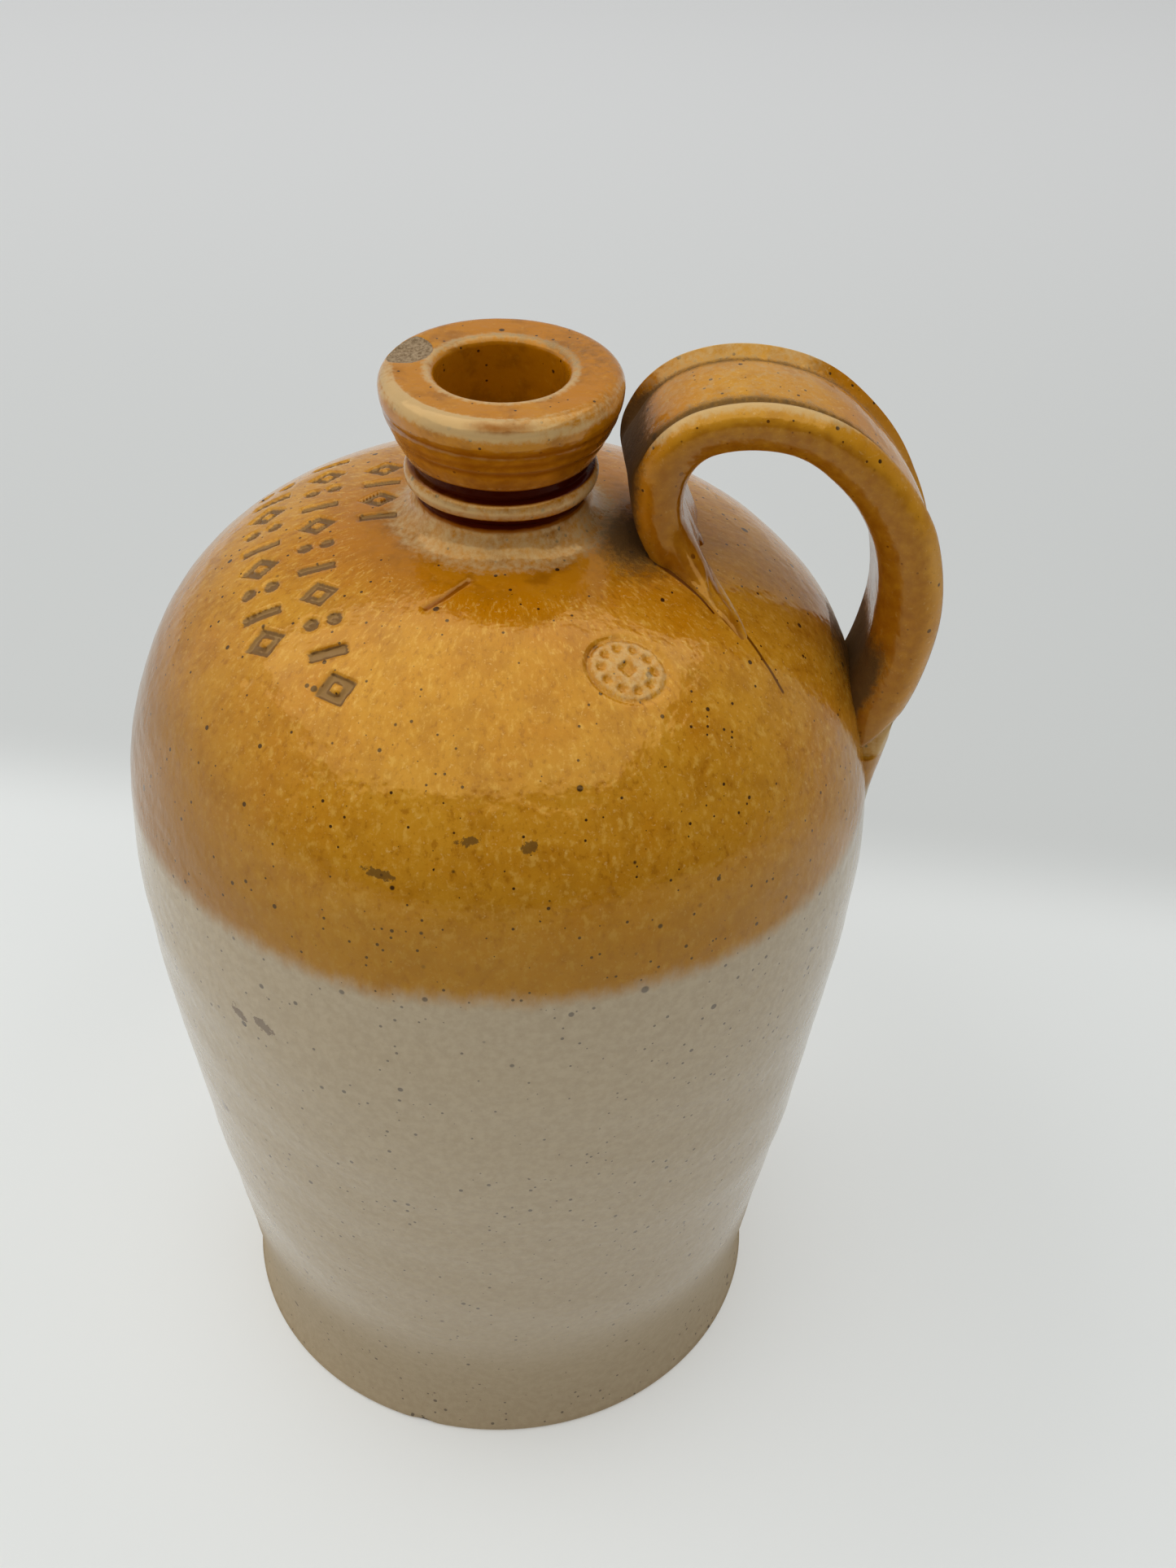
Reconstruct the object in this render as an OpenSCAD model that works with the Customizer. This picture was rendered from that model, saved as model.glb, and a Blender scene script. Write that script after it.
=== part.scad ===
// Stoneware flagon of about one gallon, thrown on a wheel and fired as one piece.
// A tapered wall rises from a flared foot to a high belly and a round shoulder.
// The narrow neck has a raised bead and a conical lip round a corked bore.
// One grooved strap handle curls up beside the neck and comes down on the shoulder.
// The jar stands on Z = 0 with its axis on Z, and the handle lies along +X.
// All sizes are in millimetres.

/* [Wall and foot] */
// Outside radius of the foot where it rests
foot_r = 77; // [70:0.5:84]
// Rounding of the foot's lower edge
foot_edge_r = 1.5; // [0.5:0.5:3]
// Outside radius of the waist just above the foot
waist_r = 74.4; // [68:0.2:76]
// Height of the waist
waist_z = 10.5; // [8:0.5:16]
// Outward lean of the wall at the waist, in degrees
wall_lean = 9; // [5:0.1:11]
// Outside radius of the belly, the widest place
belly_r = 95; // [88:0.5:102]
// Height of the belly
belly_z = 174; // [160:1:190]
// Length over which the wall keeps its lean
wall_straight = 75; // [50:1:110]
// Length over which the wall turns upright at the belly
belly_ease = 25; // [15:1:40]

/* [Shoulder] */
// Height of the shoulder above the belly
shoulder_h = 92.6; // [80:0.5:105]
// Fullness of the shoulder's outward curve, where 2 is an ellipse
shoulder_round = 2.53; // [2.2:0.01:2.9]
// Fullness of the shoulder's upward curve, where 2 is an ellipse
shoulder_top = 2.79; // [2.4:0.01:3.1]

/* [Clay] */
// Thickness of the wall
wall_t = 7; // [6:0.25:9]
// Thickness of the floor
floor_t = 9; // [7:0.5:12]
// Rounding between the floor and the wall inside
floor_round = 16; // [8:1:24]

/* [Neck] */
// Radius of the bore that takes the cork
bore_r = 15.2; // [13:0.1:17]
// Rounding of the bore's upper edge
bore_edge_r = 2; // [1:0.25:3]
// Outside radius of the neck in its grooves
neck_r = 20.2; // [19.5:0.1:21.2]
// Radius of the hollow curve between the shoulder and the neck
neck_fillet = 7; // [5:0.5:9]
// Height of the bead's middle above the shoulder's top
bead_rise = 10.9; // [9.5:0.1:11.5]
// Radius of the bead's round section
bead_t = 2.6; // [2:0.05:2.7]
// How far the bead stands out from the neck
bead_out = 2.7; // [2.2:0.1:3.2]

/* [Lip] */
// Height from the bead's middle to the lip's lower edge
lip_gap = 5.7; // [5.5:0.1:7.5]
// Height of the lip
lip_h = 19.2; // [16:0.2:22]
// Outside radius of the lip's lower edge
lip_low_r = 22.6; // [21:0.1:23]
// Outside radius of the lip at its widest
lip_r = 28; // [26.5:0.1:29]
// Rounding of the lip's upper edge
lip_edge_r = 3.6; // [2.5:0.1:4.5]
// Rounding of the lip's lower edge
lip_foot_r = 0.8; // [0.4:0.1:1.2]

/* [Strap handle] */
// Width of the strap
strap_w = 36.4; // [32:0.2:40]
// Thickness of the strap over its side beads
strap_t = 13.7; // [12:0.1:15]
// Distance from the strap's middle to each groove
groove_at = 10.6; // [9:0.1:12]
// Half width of each groove
groove_half_w = 1.6; // [1:0.1:2]
// Depth of each groove below the side beads
groove_depth = 3; // [2:0.1:3.5]
// Depth of the middle panel below the side beads
panel_depth = 1.2; // [0.4:0.1:2]
// Gap between the neck bead and the strap
curl_gap = 5.8; // [4:0.1:8]
// Radius of the strap's tight curl beside the neck
curl_r = 15.7; // [14:0.1:18]
// Radius of the strap as it rises from the shoulder
root_r = 27.3; // [22:0.1:32]
// Radius of the strap as it drops to the wall
drop_r = 59.3; // [50:0.1:70]
// Height of the strap's top above the lip's top
crown_rise = 1.1; // [-2:0.1:4]
// How far the strap's middle stands out beyond the belly
reach_out = 3.3; // [0:0.1:8]
// Direction of the strap where it leaves the shoulder, from level, in degrees
root_heading = 124.5; // [115:0.5:130]
// Direction where the curl ends and the crown begins, in degrees
crown_heading = 19; // [10:0.5:28]
// Direction where the crown ends and the drop begins, in degrees
drop_heading = -50; // [-58:0.5:-40]
// Direction where the strap runs into the wall, in degrees
wall_heading = -109; // [-115:0.5:-104]

/* [Worked clay at the strap's ends] */
// Radius from the axis at which the upper tongue dies out on the shoulder
tongue_reach = 66; // [60:0.5:72]
// How far the tongue fans out beyond each side of the strap
tongue_fan = 8.5; // [4:0.5:11]
// Height from the strap's lower end to where its smear dies out on the wall
smear_drop = 36; // [28:1:42]
// How far the smear draws in from each side of the strap
smear_taper = 6; // [2:0.5:9]
// Depth at which both ends of the strap sink under the jar's surface
sink = 1.2; // [0.8:0.1:2]

/* [Chips] */
// Radius of the round chip broken from the lip
chip_r = 9; // [6:0.5:12]
// Depth of the lip's chip
chip_depth = 1.6; // [0.8:0.1:2.4]
// Direction of the lip's chip round the axis, in degrees
chip_at = 160; // [130:1:180]

/* [Hidden] */

$fn = 144;
// Steps in each computed curve of the wall and the shoulder
curve_steps = 16;
// Steps round the quarter circles of the profile
corner_steps = 6;
// Distance between the strap's sections, and the number of steps at each worked end
strap_step = 4;
end_steps = 10;
// Steps round each side edge of the strap and round each groove
edge_steps = 10;
groove_steps = 4;
// Overlap that keeps joined shapes in one solid
weld = 0.5;

// Heights that the sizes above give
shoulder_z = belly_z + shoulder_h;
bead_z = shoulder_z + bead_rise;
lip_z = bead_z + lip_gap;
top_z = lip_z + lip_h;

// The strap's middle line is a chain of arcs in the XZ plane that all turn right.
// A heading is the line's direction, and the grooved face is on the outer side of the turn.
half_t = strap_t / 2;
curl_x = neck_r + bead_out + curl_gap + half_t;
reach_x = belly_r + reach_out;
crown_z = top_z + crown_rise - half_t;
crown_r = (reach_x - curl_x - curl_r * (1 - sin(crown_heading)) - drop_r * (1 + sin(drop_heading)))
    / (sin(crown_heading) - sin(drop_heading));
curl_z = crown_z - crown_r * (1 - cos(crown_heading)) - curl_r * cos(crown_heading);
curl_start = [curl_x, curl_z];
crown_start = arc_end(curl_start, 90, crown_heading, curl_r);
drop_start = arc_end(crown_start, crown_heading, drop_heading, crown_r);
drop_end = arc_end(drop_start, drop_heading, wall_heading, drop_r);
root_start = curl_start - root_r * [sin(root_heading) - 1, -cos(root_heading)];

// Both ends of the middle line, just under the jar's surface
tongue_end = [tongue_reach, shoulder_height(tongue_reach) - sink];
smear_z = drop_end[1] - smear_drop;
smear_end = [shoulder_radius(smear_z) - sink, smear_z];

// End of an arc of radius r that starts at p and turns right from heading a to heading b
function arc_end(p, a, b, r) = p + r * [sin(a) - sin(b), cos(b) - cos(a)];

// Unit vector along a heading
function along(heading) = [cos(heading), sin(heading)];

// Value that eases from 0 to 1 as t goes from 0 to 1
function ease(t) = t * t * (3 - 2 * t);

// Point at share t of the cubic curve with the control points a, b, c and d
function cubic(a, b, c, d, t) =
    pow(1 - t, 3) * a + 3 * pow(1 - t, 2) * t * b + 3 * (1 - t) * t * t * c + pow(t, 3) * d;

// Direction of that curve at share t
function cubic_heading(a, b, c, d, t) =
    let (v = pow(1 - t, 2) * (b - a) + 2 * (1 - t) * t * (c - b) + t * t * (d - c))
        atan2(v[1], v[0]);

// Points of that curve after its first
function curve(a, b, c, d) = [for (i = [1:curve_steps]) cubic(a, b, c, d, i / curve_steps)];

// Arc of radius r about c, from the angle a to the angle b
function corner(c, r, a, b) =
    [for (i = [0:corner_steps]) c + r * along(a + (b - a) * i / corner_steps)];

// Superellipse of the shoulder, drawn in by inset, from the belly to the axis
function shoulder(inset) = [
    for (i = [1:2 * curve_steps])
        let (a = 45 * i / curve_steps)
            [(belly_r - inset) * pow(max(cos(a), 0), 2 / shoulder_round),
             belly_z + (shoulder_h - inset) * pow(sin(a), 2 / shoulder_top)]
];

// Height of the shoulder's surface at radius r, and its radius at height z
function shoulder_height(r) =
    belly_z + shoulder_h * pow(1 - pow(r / belly_r, shoulder_round), 1 / shoulder_top);
function shoulder_radius(z) =
    belly_r * pow(1 - pow((z - belly_z) / shoulder_h, shoulder_top), 1 / shoulder_round);

// Half of the wall's outline from the foot to the belly
function wall_side() =
    let (
        lean = [sin(wall_lean), cos(wall_lean)],
        waist = [waist_r, waist_z],
        belly = [belly_r, belly_z],
        flare = (waist_z - foot_edge_r) / 3
    )
    concat(
        corner([foot_r - foot_edge_r, foot_edge_r], foot_edge_r, -90, 0),
        corner_curve([foot_r, foot_edge_r], [foot_r, foot_edge_r + flare], waist - flare * lean, waist),
        curve(waist, waist + wall_straight * lean, belly - [0, belly_ease], belly)
    );

// Half of the cavity's outline from the floor to the belly
function cavity_side() =
    let (
        lean = [sin(wall_lean), cos(wall_lean)],
        low = [waist_r - wall_t, waist_z],
        knee = low + floor_round * lean,
        belly = [belly_r - wall_t, belly_z],
        floor_edge = [knee[0] - floor_round, floor_t]
    )
    concat(
        [floor_edge],
        corner_curve(floor_edge, floor_edge + [floor_round / 2, 0], knee - floor_round / 2 * lean, knee),
        curve(knee, knee + wall_straight * lean, belly - [0, belly_ease], belly)
    );

// Points of a short cubic curve after its first
function corner_curve(a, b, c, d) =
    [for (i = [1:corner_steps]) cubic(a, b, c, d, i / corner_steps)];

module body_outline() {
    polygon(concat([[0, 0]], wall_side(), shoulder(0)));
}

module cavity_outline() {
    polygon(concat([[0, floor_t]], cavity_side(), shoulder(wall_t)));
}

// Neck core, the hollow curve at its root, and the bead
module neck_outline() {
    root_z = shoulder_height(neck_r + neck_fillet);
    translate([0, shoulder_z - wall_t / 2])
        square([neck_r, lip_z - shoulder_z + wall_t / 2 + weld]);
    difference() {
        translate([neck_r - weld, root_z - weld])
            square([neck_fillet + weld, neck_fillet + weld]);
        translate([neck_r + neck_fillet, root_z + neck_fillet])
            circle(neck_fillet);
    }
    translate([neck_r + bead_out - bead_t, bead_z])
        circle(bead_t);
}

// Conical lip with rounded edges
module lip_outline() {
    low = [lip_low_r, lip_z + lip_foot_r];
    high = [lip_r, top_z - lip_edge_r];
    lift = (high[1] - low[1]) / 3;
    polygon(concat(
        [[0, lip_z]],
        corner(low - [lip_foot_r, 0], lip_foot_r, -90, 0),
        corner_curve(low, low + [(lip_r - lip_low_r) / 2, lift], high - [0, lift], high),
        corner(high - [lip_edge_r, 0], lip_edge_r, 0, 90),
        [[0, top_z]]
    ));
}

// Bore for the cork, with its upper edge rounded outwards
module bore() {
    translate([0, 0, belly_z])
        cylinder(h = top_z - belly_z + weld, r = bore_r);
    translate([0, 0, top_z - bore_edge_r])
        rotate_extrude()
            difference() {
                square([bore_r + bore_edge_r, bore_edge_r + weld]);
                translate([bore_r + bore_edge_r, 0])
                    circle(bore_edge_r);
            }
}

// Stations of the strap's middle line: [x, z, heading, half width, half thickness, groove share]
function station(p, heading, half_w, thick, groove) = [p[0], p[1], heading, half_w, thick, groove];

// Stations along an arc, after its first point
function arc_stations(p, a, b, r) =
    let (n = ceil(r * (a - b) * PI / 180 / strap_step))
    [for (i = [1:n])
        let (h = a + (b - a) * i / n)
            station(arc_end(p, a, h, r), h, strap_w / 2, half_t, 1)];

// Stations of the tongue, which thickens from the shoulder up to the strap
function tongue_stations() =
    let (
        slope = shoulder_height(tongue_reach - 1) - shoulder_height(tongue_reach),
        out = norm(tongue_end - root_start) / 2.4,
        b = tongue_end + out * along(180 - atan(slope)),
        c = root_start - out * along(root_heading)
    )
    [for (i = [0:end_steps])
        let (t = i / end_steps)
            station(
                cubic(tongue_end, b, c, root_start, t),
                cubic_heading(tongue_end, b, c, root_start, t),
                strap_w / 2 + tongue_fan * sin(180 * pow(t, 0.8)),
                half_t * (0.08 + 0.92 * ease(t)),
                ease(t))];

// Stations of the smear, which thins from the strap down to the wall
function smear_stations() =
    let (
        out = norm(drop_end - smear_end) / 3,
        b = drop_end + out * along(wall_heading),
        c = smear_end + [0, 1.2 * out]
    )
    [for (i = [1:end_steps])
        let (t = i / end_steps)
            station(
                cubic(drop_end, b, c, smear_end, t),
                cubic_heading(drop_end, b, c, smear_end, t),
                strap_w / 2 - smear_taper * ease(t),
                half_t * (1 - 0.92 * ease(t)),
                1 - ease(min(1, 2 * t)))];

// Outline of one section in the plane across the strap: [across, outwards].
// Two round edges, a sunk middle panel and a groove on each side of it.
function section(half_w, thick, groove) =
    let (
        c = half_w - thick,
        top = thick - panel_depth * groove,
        rise = acos(min(1, max(0, (groove_at + groove_half_w - c) / thick))),
        side = concat(
            [for (i = [0:edge_steps])
                [c, 0] + thick * along(-90 + (90 + rise) * i / edge_steps)],
            [for (i = [0:groove_steps])
                let (a = 180 * i / groove_steps)
                    [groove_at + groove_half_w * cos(a),
                     mix(thick * sin(rise), top, i / groove_steps)
                     - (groove_depth - panel_depth / 2) * groove * sin(a)]]
        )
    )
    concat(side, [for (i = [len(side) - 1:-1:0]) [-side[i][0], side[i][1]]]);

function mix(a, b, t) = a + (b - a) * t;

// One section placed in space at its station
function ring(s) =
    [for (q = section(s[3], s[4], s[5]))
        [s[0] - q[1] * sin(s[2]), q[0], s[1] + q[1] * cos(s[2])]];

// The strap handle, swept through all its stations
module strap() {
    stations = concat(
        tongue_stations(),
        arc_stations(root_start, root_heading, 90, root_r),
        arc_stations(curl_start, 90, crown_heading, curl_r),
        arc_stations(crown_start, crown_heading, drop_heading, crown_r),
        arc_stations(drop_start, drop_heading, wall_heading, drop_r),
        smear_stations()
    );
    rings = [for (s = stations) ring(s)];
    n = len(rings[0]);
    last = len(rings) - 1;
    polyhedron(
        points = [for (r = rings) each r],
        faces = concat(
            [[for (i = [0:n - 1]) i]],
            [[for (i = [n - 1:-1:0]) last * n + i]],
            [for (k = [0:last - 1], i = [0:n - 1])
                let (j = (i + 1) % n)
                    [k * n + i, (k + 1) * n + i, k * n + j]],
            [for (k = [0:last - 1], i = [0:n - 1])
                let (j = (i + 1) % n)
                    [k * n + j, (k + 1) * n + i, (k + 1) * n + j]]
        )
    );
}

// Round chip broken from the lip's upper edge
module lip_chip() {
    rotate([0, 0, chip_at])
        translate([lip_r - lip_edge_r, 0, top_z + 2 * chip_r - chip_depth])
            sphere(2 * chip_r);
}

module jar() {
    color("#b9823c")
        difference() {
            union() {
                rotate_extrude() {
                    body_outline();
                    neck_outline();
                    lip_outline();
                }
                strap();
            }
            rotate_extrude()
                cavity_outline();
            bore();
            lip_chip();
        }
}

jar();
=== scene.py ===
"""Looks of a two-tone stoneware flagon: the thrown body, its neck and lip, and the grooved strap handle.

All shapes are worked out in millimetres in the frame of the CAD part, with the jar's axis on Z and the
handle along +X, and are written to Blender in metres. The body's and the neck's sizes are those of the
CAD source, and the strap has a finer section on nearly the same path.
"""
import math

import bpy
import numpy as np
from mathutils import Matrix


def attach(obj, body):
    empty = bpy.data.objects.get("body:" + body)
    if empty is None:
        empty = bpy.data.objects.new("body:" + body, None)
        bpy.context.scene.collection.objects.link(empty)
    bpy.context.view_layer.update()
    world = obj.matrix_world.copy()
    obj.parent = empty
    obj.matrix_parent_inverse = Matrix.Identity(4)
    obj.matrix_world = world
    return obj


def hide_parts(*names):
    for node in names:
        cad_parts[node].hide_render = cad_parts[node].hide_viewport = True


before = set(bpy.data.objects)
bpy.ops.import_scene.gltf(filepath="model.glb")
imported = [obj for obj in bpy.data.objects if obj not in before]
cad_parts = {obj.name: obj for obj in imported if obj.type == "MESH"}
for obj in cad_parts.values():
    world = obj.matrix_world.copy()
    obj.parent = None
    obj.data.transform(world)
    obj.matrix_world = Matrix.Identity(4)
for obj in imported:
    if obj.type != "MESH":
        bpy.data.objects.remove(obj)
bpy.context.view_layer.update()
MM = 0.001

# sizes, in millimetres and degrees

FOOT_R, FOOT_EDGE_R = 77.0, 1.5
WAIST_R, WAIST_Z = 74.4, 10.5
WALL_LEAN, WALL_STRAIGHT, BELLY_EASE = 9.0, 75.0, 25.0
BELLY_R, BELLY_Z = 95.0, 174.0
SHOULDER_H, SHOULDER_ROUND, SHOULDER_TOP = 92.6, 2.53, 2.79
WALL_T, FLOOR_T, FLOOR_ROUND = 7.0, 9.0, 16.0
BORE_R, BORE_EDGE_R = 15.2, 2.0
NECK_R, NECK_FILLET = 20.2, 7.0
BEAD_RISE, BEAD_T, BEAD_OUT = 10.9, 2.6, 2.7
LIP_GAP, LIP_H, LIP_LOW_R, LIP_R, LIP_EDGE_R, LIP_FOOT_R = 5.7, 19.2, 22.6, 28.0, 3.6, 0.8
STRAP_W, STRAP_T, ROOT_T, DROP_T = 36.0, 13.4, 11.6, 16.7
CREST_IN, GROOVE_AT, GROOVE_HALF_W, GROOVE_DEPTH = 3.4, 11.0, 1.8, 1.5
PANEL_DEPTH, PANEL_CROWN = 2.6, 0.5
CURL_GAP, CURL_R, ROOT_R, DROP_R, FOOT_RUN_R = 5.4, 16.3, 27.3, 57.4, 69.5
ROOT_RUN, ROOT_SUNK, CROWN_RISE, REACH_OUT = 12.0, 4.0, 1.5, 3.8
ROOT_HEADING, CROWN_HEADING, DROP_HEADING, FOOT_HEADING, WALL_HEADING = 112.0, 20.5, -39.5, -92.0, -113.0
CURL_TWIST, CROWN_TWIST, DROP_TWIST, WALL_TWIST = 5.0, 1.0, -2.0, 8.0
SMEAR_DROP, SMEAR_TAPER, SINK = 36.0, 4.0, 1.2
LOBE_X, LOBE_Y, LOBE_L, LOBE_TURN = 40.0, 11.0, 27.7, 49.5
CHIP_AT, CHIP_R, CHIP_DEPTH = 160.0, 7.4, 1.6
DIP_Z = 196.3

SHOULDER_Z = BELLY_Z + SHOULDER_H
BEAD_Z = SHOULDER_Z + BEAD_RISE
LIP_Z = BEAD_Z + LIP_GAP
TOP_Z = LIP_Z + LIP_H
NECK_SEAM_Z = BEAD_Z - BEAD_T - 1.3
HALF_T = STRAP_T / 2
MARKED_Z = 225.0  # the marks that are placed in plan lie above this height


# formulas

def sin(a):
    """Sine of an angle in degrees."""
    return np.sin(np.radians(a))


def cos(a):
    """Cosine of an angle in degrees."""
    return np.cos(np.radians(a))


def ease(t):
    """Eases from 0 to 1 as t goes from 0 to 1, flat at both ends: 3t^2 - 2t^3."""
    t = np.clip(t, 0, 1)
    return t * t * (3 - 2 * t)


def rise(value, low, high):
    """0 below low, 1 above high, eased between them."""
    return ease((value - low) / (high - low))


def hump(value, middle, half_width):
    """1 at middle, dying out like a bell over half_width."""
    return np.exp(-(((value - middle) / half_width) ** 2))


def swell(a, s, seed, waves=9, finest=7.0):
    """Gentle unevenness of hand-thrown clay, mostly between -1 and 1: the sum of a few plane waves over
    the root of their number. They run round the jar (a, in degrees) up to finest times and along its
    outline (s, in millimetres), and their pitch and phase are seeded."""
    rng = np.random.default_rng(seed)
    total = np.zeros(np.broadcast(a, s).shape)
    for _ in range(waves):
        turns = rng.integers(0, int(finest) + 1)
        pitch = rng.uniform(18, 90)
        phase = rng.uniform(0, 360)
        total = total + np.sin(np.radians(turns * a + 360 * s / pitch + phase))
    return total / math.sqrt(waves)


def cubic(a, b, c, d, t):
    """Points at the shares t of the cubic curve with control points a, b, c and d."""
    t = np.asarray(t, float)[:, None]
    a, b, c, d = (np.asarray(p, float) for p in (a, b, c, d))
    return (1 - t) ** 3 * a + 3 * (1 - t) ** 2 * t * b + 3 * (1 - t) * t**2 * c + t**3 * d


def heading_of(path):
    """Direction of a path in its plane at each point, in degrees."""
    step = np.gradient(path, axis=0)
    return np.degrees(np.unwrap(np.arctan2(step[:, 1], step[:, 0])))


def resample(path, spacing):
    """The same path with points a chosen distance apart; spacing is a function of the point."""
    length = np.concatenate([[0], np.cumsum(np.hypot(*np.diff(path, axis=0).T))])
    gap = np.array([spacing(p) for p in path])
    count = np.concatenate([[0], np.cumsum(np.diff(length) / ((gap[1:] + gap[:-1]) / 2))])
    steps = np.linspace(0, count[-1], max(2, int(round(count[-1])) + 1))
    at = np.interp(steps, count, length)
    return np.stack([np.interp(at, length, path[:, 0]), np.interp(at, length, path[:, 1])], -1)


def arc(centre, radius, a, b, steps):
    """Points of an arc about centre from angle a to angle b."""
    t = np.linspace(a, b, steps + 1)
    return np.asarray(centre, float) + radius * np.stack([cos(t), sin(t)], -1)


def shoulder_height(r):
    """Height of the shoulder at radius r: a superellipse over the belly."""
    share = np.clip(r, 0, BELLY_R) / BELLY_R
    return BELLY_Z + SHOULDER_H * (1 - share**SHOULDER_ROUND) ** (1 / SHOULDER_TOP)


def shoulder_radius(z):
    """Radius of the shoulder at height z."""
    return BELLY_R * (1 - ((z - BELLY_Z) / SHOULDER_H) ** SHOULDER_TOP) ** (1 / SHOULDER_ROUND)


def shoulder_line(inset, last_r):
    """The superellipse from the belly up to the radius last_r, drawn in by inset."""
    a = np.linspace(0, 90, 1500)[1:-1]
    r = (BELLY_R - inset) * cos(a) ** (2 / SHOULDER_ROUND)
    z = BELLY_Z + (SHOULDER_H - inset) * sin(a) ** (2 / SHOULDER_TOP)
    return np.stack([r, z], -1)[r > last_r]


# meshes

MARKS = ("pool_and_shade", "thin_and_highlight", "stain", "grime", "bare", "off_wall", "dull")


def solid(name, rings, material, marks, start=None, end=None):
    """Closed piece made of rings of points, shape (rings, points, 3). Neighbouring rings are joined by
    quads. start and end are pole points that close the first and last ring with triangles; without them
    the last ring joins the first. marks gives the glaze a value for each point, and one that a piece
    lacks is 0."""
    m, n = rings.shape[:2]
    points = rings.reshape(-1, 3)
    i, j = np.meshgrid(np.arange(m if start is None else m - 1), np.arange(n), indexing="ij")
    up, right = (i + 1) % m, (j + 1) % n
    quads = np.stack([i * n + j, i * n + right, up * n + right, up * n + j], -1).reshape(-1, 4)
    faces = quads.tolist()
    if start is not None:
        around = np.arange(n)
        nxt = (around + 1) % n
        faces += np.stack([np.full(n, m * n), nxt, around], -1).tolist()
        faces += np.stack([np.full(n, m * n + 1), (m - 1) * n + around, (m - 1) * n + nxt], -1).tolist()
        points = np.concatenate([points, [start, end]])
    corner = points[quads]
    volume = (corner[:, 0] * np.cross(corner[:, 1] - corner[:, 0], corner[:, 2] - corner[:, 0])).sum()
    if volume < 0:
        faces = [face[::-1] for face in faces]
    mesh = bpy.data.meshes.new(name)
    mesh.from_pydata((points * MM).tolist(), [], faces)
    mesh.polygons.foreach_set("use_smooth", np.ones(len(faces), bool))
    for mark in MARKS:
        values = np.zeros(len(points), np.float32)
        values[: m * n] = np.broadcast_to(marks.get(mark, 0.0), (m, n)).reshape(-1)
        mesh.attributes.new(mark, "FLOAT", "POINT").data.foreach_set("value", values)
    mesh.materials.append(material)
    mesh.update()
    piece = bpy.data.objects.new(name, mesh)
    bpy.context.scene.collection.objects.link(piece)
    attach(piece, "root")
    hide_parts("jar")
    return piece


def turned(outline, a, push):
    """Points of an outline of (radius, height) turned to the azimuths a and pushed out along the
    outline's normal by push, in millimetres."""
    step = np.gradient(outline, axis=0)
    step /= np.linalg.norm(step, axis=1)[:, None]
    r = outline[:, :1] + push * step[:, 1:]
    z = outline[:, 1:] - push * step[:, :1]
    return np.stack([r * cos(a), r * sin(a), z], -1)


# impressed rows and oval

ROWS = (  # the row's x, its first and last y, the pitch of its shapes, and the shapes in turn
    (-29.6, 22.5, -6.0, 8.4, ("lozenge", "bar")),
    (-44.2, 33.5, -55.5, 8.8, ("bar", "lozenge", "dots")),
    (-57.6, 28.0, -40.0, 8.2, ("dots", "bar", "lozenge")),
)
ROW_BEND = 0.0022  # how fast a row curves away from the axis in front of y = 12
BAR_HALF_W, BAR_HALF_H = 1.4, 4.5
DOT_R, DOT_OFF = 1.85, 2.7
LOZENGE_HALF_W, LOZENGE_HALF_H, LOZENGE_LINE = 4.1, 4.9, 1.05


def edge_of_bar(s, t, half_w, half_h):
    """Distance outside a bar of the given half width and half height."""
    return np.maximum(np.abs(s) - half_w, np.abs(t) - half_h)


def edge_of_lozenge(s, t, half_w, half_h):
    """Distance outside a lozenge of the given half width and half height."""
    return (np.abs(s) / half_w + np.abs(t) / half_h - 1) * half_w * half_h / math.hypot(half_w, half_h)


def stamped(distance):
    """Depth share of a stamped shape, 1 inside and 0 outside, over a soft edge."""
    return 1 - rise(distance, -0.35, 0.25)


def impressed_rows(x, y):
    """Depth share of three bent rows of plain shapes on the left shoulder, seen in plan: bars, pairs of
    dots and hollow lozenges."""
    depth = np.zeros(x.shape)
    for middle, first, last, pitch, shapes in ROWS:
        t = x - middle - ROW_BEND * np.maximum(0, 12 - y) ** 2
        near = np.abs(t) < 6
        for k, at in enumerate(np.arange(first, last, -pitch)):
            s = y - at
            shape = shapes[k % len(shapes)]
            if shape == "bar":
                distance = edge_of_bar(s, t, BAR_HALF_W, BAR_HALF_H)
            elif shape == "dots":
                distance = np.hypot(s, np.abs(t) - DOT_OFF) - DOT_R
            else:
                filled = edge_of_lozenge(s, t, LOZENGE_HALF_W, LOZENGE_HALF_H)
                distance = np.abs(filled + LOZENGE_LINE) - LOZENGE_LINE
            depth = np.maximum(depth, np.where(near, stamped(distance), 0))
    return depth


OVAL_X, OVAL_Y, OVAL_HALF_W, OVAL_HALF_H, OVAL_TILT = 29.4, -50.0, 9.6, 7.6, 8.0
OVAL_MEAN_R, RIM_AT, DOTS_AT, DOTS_PITCH = 8.0, 0.93, 0.62, 36


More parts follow.
